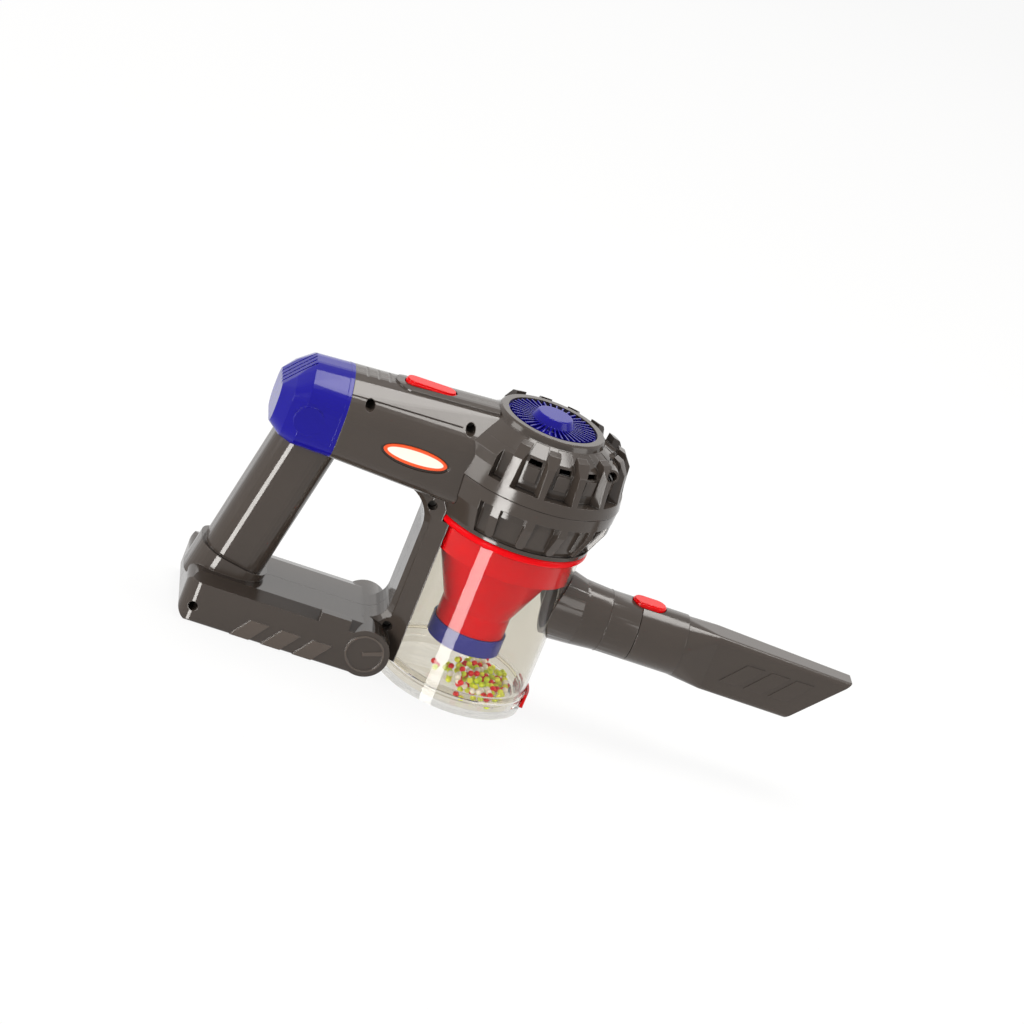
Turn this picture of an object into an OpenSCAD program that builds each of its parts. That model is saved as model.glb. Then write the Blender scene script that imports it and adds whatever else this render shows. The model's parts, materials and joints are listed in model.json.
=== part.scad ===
// Hand-held toy vacuum cleaner: ribbed motor head over a clear dust bin, a looped
// handle on a battery base, an inlet duct at the front and a pull-off crevice nozzle.
// Millimetres. The origin is the centre of the bin lid's lower face, +X runs to the
// nozzle and +Z up the axis of the bin.

/* [Fits] */
// Wall of the moulded shells
shell_wall = 2; // [1.6:0.1:2.4]
// Gap between a moving piece and its neighbours
slip_gap = 0.35; // [0.3:0.05:0.5]
// Gap between fixed pieces that drop into a seat
seat_gap = 0.15; // [0.1:0.05:0.25]
// Radial gap between a pin or shaft and its bore
pin_gap = 0.05; // [0.02:0.01:0.09]

/* [Bin] */
// Outer radius of the clear bin
bin_r = 37; // [36:0.25:38]
// Wall of the bin and of its lid
bin_wall = 1.5; // [1.2:0.1:1.8]
// Height of the bin's tube
bin_h = 75.7; // [73:0.1:79]
// Height of the lid
lid_h = 8; // [7:0.25:9]
// Width of the latch
latch_w = 24; // [20:0.5:26]
// Height of the latch above the floor
latch_h = 9.6; // [9:0.25:11]
// Radius of the lid's hinge pin
pin_r = 1.4; // [1.2:0.1:1.6]
// Radius of the latch's pin
latch_pin_r = 0.7; // [0.6:0.05:0.8]

/* [Cyclone] */
// Height of the rolled rim above the bin
rim_h = 4; // [3:0.25:5]
// How far the rim stands out past the bin
rim_lip = 2.1; // [1.5:0.1:2.5]
// Height of the skirt inside the bin
skirt_h = 13; // [11:0.5:15]
// Radius of the funnel just under the skirt
funnel_top_r = 30; // [28:0.5:31]
// Radius of the funnel's neck
funnel_neck_r = 17.3; // [16:0.1:18.5]
// Height of the funnel's cone
cone_h = 29; // [27:0.5:31]
// Length of the funnel's neck
neck_h = 16.5; // [15:0.5:18]
// Height of the filter ring on the neck
filter_h = 9; // [8:0.5:10]

/* [Head] */
// How far the drum's lower edge stands out past the rolled rim
drum_out = 5.9; // [5:0.1:7]
// Height of the drum
drum_h = 29; // [28.5:0.1:30]
// Height of the ribbed collar under the drum
collar_h = 25.3; // [24:0.1:27]
// Number of rib places round the head
rib_places = 16; // [14:1:18]
// Width of a rib at its root
rib_w = 6.6; // [6:0.1:7]
// Depth of the pockets between the ribs
pocket_d = 4; // [3:0.25:4.5]
// Radius of the vent disc as a share of the drum's
vent_share = 0.4934; // [0.47:0.005:0.51]
// Number of fins on the vent disc
fin_count = 40; // [30:2:48]

/* [Housing] */
// Half width of the housing
housing_half_w = 28.4; // [27.5:0.1:29]
// Distance from the bin axis to the rear seam
housing_len = 96.3; // [93:0.5:99]
// Length of the rear cap
cap_len = 31; // [29:0.5:33]
// Length of the badge as a share of the housing's
badge_len_share = 0.327; // [0.3:0.005:0.35]
// Height of the badge
badge_h = 9.3; // [8.5:0.25:10]

/* [Handle] */
// Clear length of the finger loop from the post to the grip
loop_len = 56; // [53:0.5:59]
// Depth of the post behind the bin
post_d = 4.6; // [4.2:0.2:6]
// Half width of the post
post_half_w = 15; // [14:0.5:16]
// Size of the grip from front to back
grip_d = 31; // [29:0.5:33]
// Half width of the grip
grip_half_w = 15; // [14:0.5:16]
// Lean of the grip in degrees
grip_lean = 11; // [9:0.5:13]

/* [Base] */
// Half width of the battery base
base_half_w = 30; // [29:0.25:31]
// Height of the base's sides
base_h = 20.6; // [19.5:0.1:21.5]
// Length of the base ahead of the battery bay
base_nose = 29.3; // [28:0.1:32]
// Radius of the round ends at the base's front
barrel_r = 11.9; // [11:0.1:12.5]
// Diameter of a battery cell
cell_d = 14.5; // [14:0.1:14.5]
// Length of a battery cell
cell_len = 50.5; // [49:0.5:50.5]

/* [Inlet and nozzle] */
// Gap between the cyclone's skirt and the duct under it
inlet_gap = 1.25; // [1:0.05:2]
// Outer radius of the inlet duct
duct_r = 15.3; // [14.5:0.1:16]
// Distance from the bin axis to the nozzle's joint
duct_len = 74.5; // [72:0.5:78]
// Distance from the joint to the nozzle's tip
nozzle_len = 110.5; // [104:0.5:115]
// Height of the flat part of the nozzle at its tip
nozzle_h = 28; // [26:0.5:30]
// Width of the flat part of the nozzle at its tip
nozzle_w = 15; // [14:0.25:17]
// Radius of the spigot that plugs into the duct
spigot_r = 13; // [12.5:0.1:13.4]
// Length of the spigot
spigot_len = 22; // [18:0.5:24]

/* [Buttons] */
// Length of the power button
power_len = 25; // [23:0.5:27]
// Width of the power button
power_w = 9.4; // [8.5:0.1:10]
// Travel of the power button
power_travel = 2; // [1.5:0.1:2.2]
// Length of the nozzle's release button
release_len = 17; // [15:0.5:18]
// Width of the release button
release_w = 10; // [9:0.25:11]
// Travel of the release button
release_travel = 1; // [0.8:0.1:1.1]

/* [Motor] */
// Radius of the motor's can
motor_r = 12; // [11:0.25:13]
// Height of the motor's can
motor_h = 23; // [21:0.5:24]
// Gap between the impeller and the collar round it
impeller_gap = 5.8; // [4:0.2:8]
// Height of the impeller
impeller_h = 9; // [8:0.5:10]
// Number of blades
blade_count = 9; // [7:1:12]
// Radius of the motor's shaft
shaft_r = 1; // [0.9:0.05:1.2]

/* [Hidden] */
$fn = 96;
arc_step = 10;
overrun = 1;
slice = 0.02;
drum_r = bin_r + rim_lip + drum_out;
far = 4 * drum_r;

// Heights up the axis of the bin
bin_z = lid_h + slip_gap;
rim_z = bin_z + bin_h;
inlet_z = rim_z - skirt_h - inlet_gap - duct_r;
collar_z = rim_z + rim_h;
seam_gap = 0.3;
drum_z = collar_z + collar_h + seam_gap;
top_z = drum_z + drum_h;

// Head: profile of the drum and of the collar, as steps in from the drum's radius
drum_mid_in = 1.7;
drum_mid_h = 10.4;
drum_mid_r = drum_r - drum_mid_in;
shoulder_in = 2.7;
shoulder_h = 19.8;
shoulder_r = drum_r - shoulder_in;
crown_in = 7;
crown_r = drum_r - crown_in;
crown_drop = 3.5;
rib_end_in = 10.6;
rib_end_r = drum_r - rib_end_in;
rib_end_drop = 2.3;
rib_heel_in = 11.1;
rib_heel_r = drum_r - rib_heel_in;
rib_heel_drop = 6;
rib_flare_in = 0.8;
rib_flare_share = 0.45;
vent_r = vent_share * drum_r;
rim_top_w = 3.4;
rim_edge_w = 4.2;
rim_edge_drop = 0.8;
rim_foot_w = 4.9;
rim_foot_drop = 3.1;
rim_top_r = vent_r + rim_top_w;
rim_edge_r = vent_r + rim_edge_w;
rim_foot_r = vent_r + rim_foot_w;
roof_w = 0.6;
roof_r = rim_foot_r + roof_w;
roof_drop = 3.5;
eave_in = 8.6;
eave_drop = 7.4;
eave_r = drum_r - eave_in;
core_wall = 2;
pocket_r = shoulder_r - pocket_d;
drum_core_r = pocket_r - core_wall;
rim_round = 1.7;
collar_top_in = 0.2;
collar_top_r = drum_r - collar_top_in;
collar_knee_in = 0.8;
collar_knee_r = drum_r - collar_knee_in;
collar_knee_h = 14.3;
collar_foot_h = 1.6;
collar_foot_in = 0.1;
collar_foot_r = bin_r + rim_lip - collar_foot_in;
collar_wall = 2.8;
band_h = 5.6;
pocket_z = drum_z + band_h;
pocket_top_h = 18.9;
collar_pocket_up = 2;
collar_pocket_z = collar_z + collar_pocket_up;
collar_pocket_h = 17;
collar_pocket_d = 4.4;
collar_toe_d = 1.6;
bar_w = 4.4;
bar_up = 0.6;
rib_angle = 360 / rib_places;
rib_span = 2 * asin(rib_w / 2 / shoulder_r);
rib_reach = 5;
// The sloped top behind the last ribs
shed_lap = 0.5;
shed_w = 0.3;
shed_r = rim_foot_r + shed_w;
shed_drop = 3.5;
shed_h = 14.5;
end_pocket = 9;
window_h = 2.6;
window_up = 17.9;
window_z = drum_z + window_up;
window_d = 5;
window_share = 0.7;
plate_d = 1.2;
plate_up = 4.3;
plate_h = 7.4;
plate_share = 0.7;
vent_seat_h = 4;
vent_plate_h = 2.2;
fin_h = 1.8;
fin_edge = 1;
fin_share = 0.45;
fin_root_share = 0.8;
dome_share = 0.52;
dome_top_share = 0.74;
dome_h = 5.1;
dome_edge_r = 1;

// Housing: sections at the rear seam and inside the drum
housing_bottom_rise = 3;
housing_drop = 19.6;
housing_z = drum_z - housing_drop;
housing_front_share = 0.72;
housing_front_x = -drum_core_r * housing_front_share;
housing_taper = 1;
housing_rear_half_w = housing_half_w - housing_taper;
side_up = 13;
housing_side_z = drum_z + side_up;
deck_up = 26.6;
deck_z = drum_z + deck_up;
deck_rise = 4.4;
rear_deck_z = deck_z - deck_rise;
rear_bottom_z = housing_z + housing_bottom_rise;
deck_half_w = 11;
deck_crown = 1.6;
deck_edge_r = 4;
side_r = 14;
foot_r = 9;
badge_place_share = 0.613;
badge_x = -badge_place_share * housing_len;
badge_len = badge_len_share * housing_len;
badge_drop = 0.6;
badge_z = drum_z - badge_drop;
badge_recess_d = 0.8;
badge_t = 0.6;
badge_margin = 2.2;
badge_face = housing_rear_half_w - badge_recess_d + badge_t;
thumb_groove_r = 1;
thumb_groove_half_w = 6;
thumb_groove_pitch = 5.4;
thumb_groove_in = 5.8;
thumb_groove_count = 3;
thumb_groove_share = 0.67;
thumb_groove_z = rear_deck_z + thumb_groove_r * thumb_groove_share;
deck_slope = deck_rise / (housing_len + housing_front_x);
panel_y = 20;
panel_up = 16.4;
panel_rise = 2.4;
panel_len = 54;
panel_w = 0.6;
panel_d = 0.4;

// Rear cap
cap_mid_share = 0.6;
cap_rear_x = -housing_len - cap_len;
cap_mid_x = -housing_len - cap_len * cap_mid_share;
cap_rear_half_w = 16;
cap_mid_half_w = 26.5;
cap_mid_drop = 1.2;
cap_top_drop = 15;
cap_rear_r = 8;
cap_rear_lift = 4;
cap_bend_share = 0.82;
cap_bend_x = -housing_len - cap_len * cap_bend_share;
cap_bend_half_w = 23;
cap_bend_lift = 1.4;
cap_bend_side_drop = 4;
cap_bend_drop = 8.6;
cap_lip = 4;
cap_lip_wall = 1.6;
groove_w = 1.3;
groove_d = 0.9;
groove_pitch = 4.4;
groove_count = 4;
cap_boss_r = 7.2;
cap_boss_h = 0.5;
cap_boss_in = 15.4;
cap_boss_x = -housing_len - cap_boss_in;

// Handle
post_x = -(bin_r + post_d);
post_flare = 5.5;
post_front_in = 5.9;
post_front_x = post_front_in - bin_r;
post_front_half_w = post_half_w + post_flare;
post_foot_z = 5.5;
loop_floor_up = 2.4;
loop_floor_z = base_h + loop_floor_up;
loop_top_r = 18;
loop_floor_r = 11;
loop_back_share = 0.33;
loop_chamfer = 2.2;
grip_front_x = post_x - loop_len;
grip_corner_r = 11;
grip_foot_h = 7;
grip_foot_out = 2.4;
grip_x = grip_front_x - grip_d / 2;
grip_mid_z = (loop_floor_z + housing_z) / 2;
grip_reach = (housing_z - base_h) / 2;

// Base
base_front_in = 10.3;
base_front_x = -bin_r - base_front_in;
base_tail = 16;
base_corner_r = 6;
base_edge_r = 2;
base_plan_r = 8;
base_top_in = 9;
base_top_rise = 2.4;
barrel_z = barrel_r;
barrel_ring_in = 2.4;
barrel_ring_r = barrel_r - barrel_ring_in;
barrel_ring_w = 1;
hook_lean = 20;
strip_count = 3;
strip_pitch = 15.6;
strip_w = 9.5;
strip_h = 10;
strip_lean = 7.3;
strip_up = 0.6;
strip_t = 0.5;
strip_in = 27;
tab_len = 15;
tab_h = 5;
tab_w = 5;
tab_root = 1;
tab_in = 64.5;

// Battery bay
cell_gap = 0.5;
cell_count = 3;
cell_pitch = cell_d + cell_gap;
door_t = 2;
door_inset = 0.5;
door_side = 1;
door_screw_end = 8;
contact_t = 0.6;
contact_h = 11;
spring_len = 4;
bay_side_gap = 0.4;
bay_front_x = -bin_r - base_nose;
bay_rear_x = bay_front_x - cell_len - spring_len - 2 * contact_t;
base_rear_x = bay_rear_x - base_tail;
base_len = -bin_r - base_rear_x;
strip_x = base_rear_x + strip_in;
tab_x = base_rear_x + tab_in;
bay_wall = 1.6;
bay_half_w = cell_count * cell_pitch / 2 + bay_side_gap;
door_half_w = bay_half_w + door_side;
cell_z = door_inset + door_t + seat_gap + cell_d / 2;
cell_x = bay_rear_x + contact_t;
door_len = bay_front_x - bay_rear_x + door_screw_end;
door_screw_x = bay_front_x + door_screw_end / 2;

// Hinge of the lid, at the foot of the post
hinge_back = 5.2;
hinge_x = -bin_r - hinge_back;
hinge_z = lid_h / 2;
knuckle_in = 0.5;
knuckle_r = hinge_z - knuckle_in;
knuckle_half_w = 6;
hinge_pin_half = 10;
lid_clear = 1.8;
lid_floor = 2;
lid_lip_h = 2.5;
lid_flange = 0.5;
lid_r = bin_r + lid_flange;
track_len = 42;
track_w = 4;
track_wall = 0.8;
track_h = 1.6;
track_x = 18.8;
lid_step_in = 5.2;
lid_step_r = bin_r - lid_step_in;
lid_step_h = 5.4;

// Latch hinged in a notch at the front of the lid
latch_t = 1.2;
latch_root_w = 15;
latch_knuckle_r = 1.3;
latch_pin_in = 2.4;
latch_pin_x = lid_r - latch_pin_in;
latch_pin_z = 2.6;
latch_wing_up = 0.2;
latch_foot_z = 0.5;
latch_in_r = lid_r + slip_gap;
latch_out_r = latch_in_r + latch_t;
latch_ear = 1.5;

// Inlet and nozzle
flare_half_w = 24;
flare_half_h = 19.6;
flare_rise = 3;
flare_len = 22;
flare_mid_len = 9;
flare_mid_out = 1;
flare_root_share = 0.62;
duct_inner_len = 5;
duct_inner_x = bin_r - duct_inner_len;
duct_step = 0.2;
duct_step_in = 15;
airway_wall = 3.5;
airway_r = spigot_r - airway_wall;
neck_len = 24;
neck_step = 0.7;
neck_solid = 15.5;
nozzle_blend = 16;
nozzle_drop = 3.2;
nozzle_root_h = 29.5;
nozzle_root_w = 18;
nozzle_edge_r = 3.2;
nozzle_wall = 2;
mouth_run = 26;
nozzle_strip_count = 3;
nozzle_strip_x = 47.5;
nozzle_strip_pitch = 12.8;
nozzle_strip_w = 9.4;
nozzle_strip_h = 12;
nozzle_strip_lean = 10.4;
nozzle_strip_t = 0.5;

// Buttons
power_in = 36.3;
power_x = power_in - housing_len;
power_proud = 2.2;
power_flange = 1.4;
power_flange_t = 1.6;
power_step = 0.5;
power_step_h = 1;
spine_back = 4.5;
spine_half_w = 9;
spine_h = 0.9;
shelf_t = 2;
shelf_len = 22;
switch_len = 14;
switch_w = 8;
switch_h = 7;
plunger_r = 1.6;
plunger_h = 1.6;
spring_r = 3.4;
spring_wire = 0.6;
release_ahead = 3.5;
release_x = duct_len + release_ahead;
release_proud = 1.3;
release_body_h = 4.2;
release_step = 0.5;
leaf_t = 0.3;
leaf_len = 9;
leaf_foot = 1.5;
leaf_top = 3;
leaf_w = 4;
leaf_h = release_travel + leaf_t + slip_gap;
power_share = (power_x - housing_front_x) / (-housing_len - housing_front_x);
power_deck_z = deck_z - deck_rise * power_share;
power_flange_z = power_deck_z - shell_wall - deck_crown - slip_gap - power_flange_t;
switch_z = power_flange_z - power_travel - plunger_h - switch_h;
release_z = inlet_z + duct_r + release_proud - release_body_h;

// Motor
bracket_t = 2.2;
bracket_z = drum_z - bracket_t;
bracket_seat = 1.2;
bracket_r = collar_foot_r - collar_wall + bracket_seat;
bracket_hole_r = 4.4;
bracket_hole_count = 6;
motor_boss_r = 4;
motor_boss_h = 2;
hub_r = 5;
hub_bore_gap = 0.02;
impeller_up = 5;
impeller_z = collar_z + impeller_up;
impeller_r = collar_foot_r - collar_wall - impeller_gap;
back_plate_t = 1.4;
blade_t = 1.4;
blade_lean = 35;
shaft_top_gap = 4;
shaft_foot_in = 1;

// Filter
filter_wall = 1;
filter_lip = 3;
filter_floor = 1.6;
screen_t = 1.2;
screen_hole_r = 1.2;
screen_pitch = 3.6;
screen_rings = 3;
filter_z = rim_z - skirt_h - cone_h - neck_h - screen_t - filter_floor - seat_gap;

// Screws, driven from the right-hand side
screw_r = 1.1;
screw_head_r = 2;
screw_head_h = 1.6;
screw_len = 16;
screw_seat = 9;
screw_hole_r = 2.3;
screw_boss_r = 3.6;
door_screw_len = 6;
rear_screw_in = 9.3;
rear_screw_up = 14.9;
front_screw_in = 57.8;
front_screw_up = 18.4;
rib_screw_in = 14.4;
rib_screw_x = drum_r - rib_screw_in;
rib_screw_up = 21.4;
rib_screw_z = drum_z + rib_screw_up;
rib_boss_r = 3.4;
rib_boss_end = 27.4;
rib_boss_len = 12;
post_screw_in = 0.6;
post_screw_up = 0.5;
floor_screw_back = 2.6;
floor_screw_up = 2.8;
base_screw_in = 6.4;
base_screw_z = 8.2;
// Each screw as [distance along the part, height]
screw_places = [
    [rear_screw_in - housing_len, drum_z + rear_screw_up],
    [front_screw_in - housing_len, drum_z + front_screw_up],
    [rib_screw_x, rib_screw_z],
    [post_x + post_screw_in, collar_z + post_screw_up],
    [-bin_r - floor_screw_back, base_h + floor_screw_up],
    [base_rear_x + base_screw_in, base_screw_z]];

// Outlines

function unit(v) = v / norm(v);
function left(u) = [-u.y, u.x];
function turned(u, a) = [u.x * cos(a) - u.y * sin(a), u.x * sin(a) + u.y * cos(a)];
function flat(p) = [p.x, p.y];

// One corner of an outline, rounded to radius r and moved inwards by inset
function corner(a, b, c, r, inset) =
    let (u = unit(b - a))
    let (v = unit(c - b))
    let (bend = atan2(u.x * v.y - u.y * v.x, u * v))
    let (side = bend < 0 ? -1 : 1)
    let (tip = b + inset * (left(u) + left(v)) / (1 + u * v))
    let (round_r = max(r - side * inset, 0))
    let (start = tip - u * round_r * tan(abs(bend) / 2))
    let (hub = start + side * round_r * left(u))
    let (steps = ceil(abs(bend) / arc_step))
    round_r == 0 ? [tip]
        : [for (k = [0:steps]) hub + turned(-side * round_r * left(u), bend * k / steps)];

// Closed outline through corners given as [a, b, radius], anticlockwise
function outline(corners, inset = 0) =
    let (n = len(corners))
    [for (i = [0:n - 1])
        each corner(flat(corners[(i + n - 1) % n]), flat(corners[i]), flat(corners[(i + 1) % n]),
            corners[i].z, inset)];

// Corners of the right-hand half of a section, bottom to top, with their mirror images
function both_sides(half) =
    concat(half, [for (i = [len(half) - 1:-1:0]) [-half[i].x, half[i].y, half[i].z]]);

function pill(length, width) =
    [for (end = [0, 1], a = [-90:arc_step:90])
        turned([(length - width) / 2 + width / 2 * cos(a), width / 2 * sin(a)], 180 * end)];

function oval(length, width) =
    [for (a = [0:arc_step / 2:360 - arc_step / 2]) [length / 2 * cos(a), width / 2 * sin(a)]];

function slanted(x, z, width, height, lean) =
    [[x, z], [x + width, z], [x + width + lean, z + height], [x + lean, z + height]];

// Side outline in X and Z, extruded across the part
module across(half_w, points) {
    rotate([90, 0, 0]) translate([0, 0, -half_w]) linear_extrude(2 * half_w) polygon(points);
}

// Thin slice of a side outline, at one distance from the parting plane
module upright(y, points) {
    translate([0, y, 0]) rotate([90, 0, 0]) linear_extrude(slice) polygon(points);
}

// Cross section in Y and Z, extruded along the part
module along(x, length, points) {
    translate([x, 0, 0]) rotate([90, 0, 90]) linear_extrude(length) polygon(points);
}

module cross_cylinder(x, z, r, y_from, y_to) {
    translate([x, y_from, z]) rotate([-90, 0, 0]) cylinder(r = r, h = y_to - y_from);
}

module x_cylinder(x, z, r, length) {
    translate([x, 0, z]) rotate([0, 90, 0]) cylinder(r = r, h = length);
}

// Half of the space, on the right (-1) or the left (1) of the parting plane
module half_space(side) {
    translate([-far, side < 0 ? -far : 0, -far]) cube([2 * far, far, 2 * far]);
}

// Head

function collar_points() = [
    [collar_foot_r, collar_z], [collar_foot_r, collar_z + collar_foot_h],
    [collar_knee_r, collar_z + collar_knee_h], [collar_top_r, collar_z + collar_h]];

// Everything that stands on the bin axis under the drum, grown by gap
module bin_stack(gap) {
    rotate_extrude() polygon(concat(
        [[0, -far], [lid_r + lid_clear, -far], [lid_r + lid_clear, bin_z + gap],
        [bin_r + gap, bin_z + gap], [bin_r + gap, rim_z - gap], [bin_r + rim_lip + gap, rim_z - gap]],
        [for (p = collar_points()) [p.x + gap, p.y]],
        [[collar_top_r + gap, drum_z], [0, drum_z]]));
}

// A profile swept round the axis from one angle over a span
module swept(from, span, profile) {
    rotate([0, 0, from]) rotate_extrude(angle = span) polygon(profile);
}

// Pockets between neighbouring ribs, with a shorter one past the last rib on each side
module rib_pockets(profile, end_span) {
    for (k = [-rib_reach:rib_reach - 1])
        swept(k * rib_angle + rib_span / 2, rib_angle - rib_span, profile);
    for (side = [-1, 1])
        swept(side * (rib_reach * rib_angle + rib_span / 2 + end_span / 2) - end_span / 2, end_span, profile);
}

// Blocks centred between neighbouring ribs
module between_ribs(span, profile) {
    for (k = [-rib_reach:rib_reach - 1])
        swept((k + 1 / 2) * rib_angle - span / 2, span, profile);
}

// Wedges that widen the pockets outwards, so that the ribs narrow to their faces
module rib_flares() {
    from_r = pocket_r + rib_flare_in;
    half = (rib_angle - rib_span) / 2;
    reach = from_r * sin(half) + (far - from_r) * (tan(half) + rib_flare_share);
    for (k = [-rib_reach:rib_reach - 1])
        rotate([0, 0, (k + 1 / 2) * rib_angle]) translate([0, 0, pocket_z]) linear_extrude(far)
            polygon([[from_r * cos(half), -from_r * sin(half)], [far, -reach], [far, reach],
                [from_r * cos(half), from_r * sin(half)]]);
}

module drum_outer() {
    wall = [[drum_r, drum_z], [drum_mid_r, drum_z + drum_mid_h], [shoulder_r, drum_z + shoulder_h]];
    crown = [[crown_r, top_z - crown_drop], [rib_end_r, top_z - rib_end_drop],
        [rib_heel_r, top_z - rib_heel_drop]];
    rim = [[rim_foot_r, top_z - rim_foot_drop], [rim_edge_r, top_z - rim_edge_drop], [rim_top_r, top_z]];
    plate = [[drum_core_r, pocket_z + plate_up], [pocket_r + plate_d, pocket_z + plate_up],
        [pocket_r + plate_d, pocket_z + plate_up + plate_h], [drum_core_r, pocket_z + plate_up + plate_h]];
    shed_from = rib_reach * rib_angle + rib_span / 2 - shed_lap;
    difference() {
        rotate_extrude() polygon(concat([[0, drum_z]], wall, crown, rim, [[0, top_z]]));
        rib_pockets([[pocket_r, pocket_z], [far, pocket_z], [far, top_z], [roof_r, top_z],
            [roof_r, top_z - roof_drop], [eave_r, top_z - eave_drop],
            [pocket_r, drum_z + pocket_top_h]], end_pocket);
        rib_flares();
        swept(shed_from, 360 - 2 * shed_from, [[shed_r, top_z - shed_drop], [drum_r, drum_z + shed_h],
            [far, drum_z + shed_h], [far, far], [shed_r, far]]);
    }
    between_ribs(plate_share * (rib_angle - rib_span), plate);
    cross_cylinder(rib_screw_x, rib_screw_z, rib_boss_r, -rib_boss_end, rib_boss_len - rib_boss_end);
}

module drum_inner() {
    ledge_r = vent_r - shell_wall;
    seat_z = top_z - vent_seat_h;
    rotate_extrude() polygon([[0, drum_z - overrun], [drum_core_r, drum_z - overrun],
        [drum_core_r, drum_z + shoulder_h], [ledge_r, seat_z - shell_wall], [ledge_r, seat_z],
        [vent_r + seat_gap, seat_z], [vent_r + seat_gap, top_z + overrun], [0, top_z + overrun]]);
    between_ribs(window_share * (rib_angle - rib_span),
        [[eave_r - window_d, window_z], [far, window_z], [far, window_z + window_h],
        [eave_r - window_d, window_z + window_h]]);
}

// Housing and rear cap

function housing_section(bottom, deck, half_w) = both_sides([
    [half_w, bottom, foot_r], [half_w, housing_side_z, side_r],
    [deck_half_w, deck - deck_crown, deck_edge_r], [deck_half_w / 2, deck, side_r]]);

function rear_section(half_w, drop = 0) = housing_section(rear_bottom_z, rear_deck_z - drop, half_w);

module housing(inset) {
    hull() {
        along(-housing_len - (inset > 0 ? overrun : 0), slice,
            outline(rear_section(housing_rear_half_w), inset));
        along(housing_front_x, slice, outline(housing_section(housing_z, deck_z, housing_half_w), inset));
    }
}

// Raised spine from behind the power button to the head
module spine() {
    rear_x = power_x - power_len / 2 - spine_back;
    intersection() {
        translate([rear_x + far / 2, 0, rear_deck_z - shell_wall])
            linear_extrude(far) polygon(pill(far, 2 * spine_half_w));
        translate([0, 0, spine_h]) housing(0);
    }
}

module thumb_grooves() {
    for (k = [0:thumb_groove_count - 1])
        cross_cylinder(thumb_groove_in + k * thumb_groove_pitch - housing_len,
            thumb_groove_z + deck_slope * (thumb_groove_in + k * thumb_groove_pitch),
            thumb_groove_r, -thumb_groove_half_w, thumb_groove_half_w);
}

function cap_section(half_w, lift, side_drop, top_drop) = both_sides([
    [half_w, rear_bottom_z + lift, cap_rear_r], [half_w, housing_side_z - side_drop, cap_rear_r],
    [deck_half_w, rear_deck_z - top_drop, deck_edge_r]]);

// Fine line along each of the housing's shoulders
module panel_lines() {
    lean = atan(panel_rise / (housing_len + housing_front_x));
    for (side = [-1, 1])
        translate([-housing_len, side * panel_y, drum_z + panel_up]) rotate([0, -lean, 0])
            translate([-overrun, -panel_w / 2, -panel_d]) cube([panel_len + overrun, panel_w, far]);
}

module cap_form(inset) {
    bend = cap_section(cap_bend_half_w, cap_bend_lift, cap_bend_side_drop, cap_bend_drop);
    tail = cap_section(cap_rear_half_w, cap_rear_lift, cap_rear_r, cap_top_drop);
    hull() {
        along(-housing_len - slice, slice, outline(rear_section(housing_rear_half_w), inset));
        along(cap_mid_x, slice, outline(rear_section(cap_mid_half_w, cap_mid_drop), inset));
        along(cap_bend_x, slice, outline(bend, inset));
        along(cap_rear_x + inset, slice, outline(tail, inset));
    }
}

module cap_grooves() {
    lean = atan((cap_top_drop - cap_mid_drop) / (cap_mid_x - cap_rear_x));
    for (k = [0:groove_count - 1])
        translate([cap_mid_x, (k - (groove_count - 1) / 2) * groove_pitch, rear_deck_z - cap_mid_drop])
            rotate([0, -lean, 0]) translate([-far, -groove_w / 2, -groove_d])
                cube([far, groove_w, far]);
}

module rear_cap() {
    seat = rear_section(housing_rear_half_w);
    color([0.12, 0.1, 0.6]) {
        difference() {
            union() {
                cap_form(0);
                cross_cylinder(cap_boss_x, badge_z, cap_boss_r, -cap_mid_half_w - cap_boss_h,
                    cap_mid_half_w + cap_boss_h);
            }
            cap_form(shell_wall);
            along(-housing_len - shell_wall, far, outline(seat, shell_wall));
            cap_grooves();
        }
        difference() {
            along(-housing_len - shell_wall, shell_wall + cap_lip, outline(seat, shell_wall + seat_gap));
            along(-housing_len - far / 2, far, outline(seat, shell_wall + seat_gap + cap_lip_wall));
        }
        difference() {
            along(-housing_len - shell_wall, shell_wall, outline(seat));
            along(-housing_len - far / 2, far, outline(seat, shell_wall + seat_gap + cap_lip_wall));
        }
    }
}

// Handle: post, loop floor and grip

module handle_frame() {
    back_x = grip_front_x + loop_len * loop_back_share;
    loop = [[post_x, loop_floor_z, loop_floor_r], [post_x, housing_z, loop_top_r],
        [grip_x - far, housing_z, 0], [grip_x - far, loop_floor_z, 0]];
    intersection() {
        difference() {
            across(far, [[grip_x, post_foot_z], [post_front_x, post_foot_z], [post_front_x, drum_z],
                [back_x, drum_z], [back_x, loop_floor_z], [grip_x, loop_floor_z]]);
            across(2 * far, outline(loop));
            for (side = [-1, 1])
                hull() {
                    upright(side * (post_half_w - loop_chamfer), outline(loop));
                    upright(side * (post_half_w + overrun), outline(loop, -loop_chamfer - overrun));
                }
        }
        linear_extrude(far) polygon([[grip_x, -post_half_w], [post_x, -post_half_w],
            [post_front_x, -post_front_half_w], [post_front_x, post_front_half_w],
            [post_x, post_half_w], [grip_x, post_half_w]]);
    }
}

function grip_section() = both_sides([[grip_half_w, -grip_d / 2, grip_corner_r],
    [grip_half_w, grip_d / 2, grip_corner_r]]);

// Stretch of the grip along its own leaning axis, measured from its middle
module grip_length(inset, low, high) {
    translate([grip_x, 0, grip_mid_z]) rotate([0, grip_lean, 0]) rotate([0, 0, 90])
        translate([0, 0, low]) linear_extrude(high - low) polygon(outline(grip_section(), inset));
}

module grip(inset) {
    grip_length(inset, -grip_reach - base_h / 2, grip_reach + foot_r);
}

module grip_foot() {
    grip_length(-grip_foot_out, -grip_reach - base_h / 2, -grip_reach + grip_foot_h);
}

// Base

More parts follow.
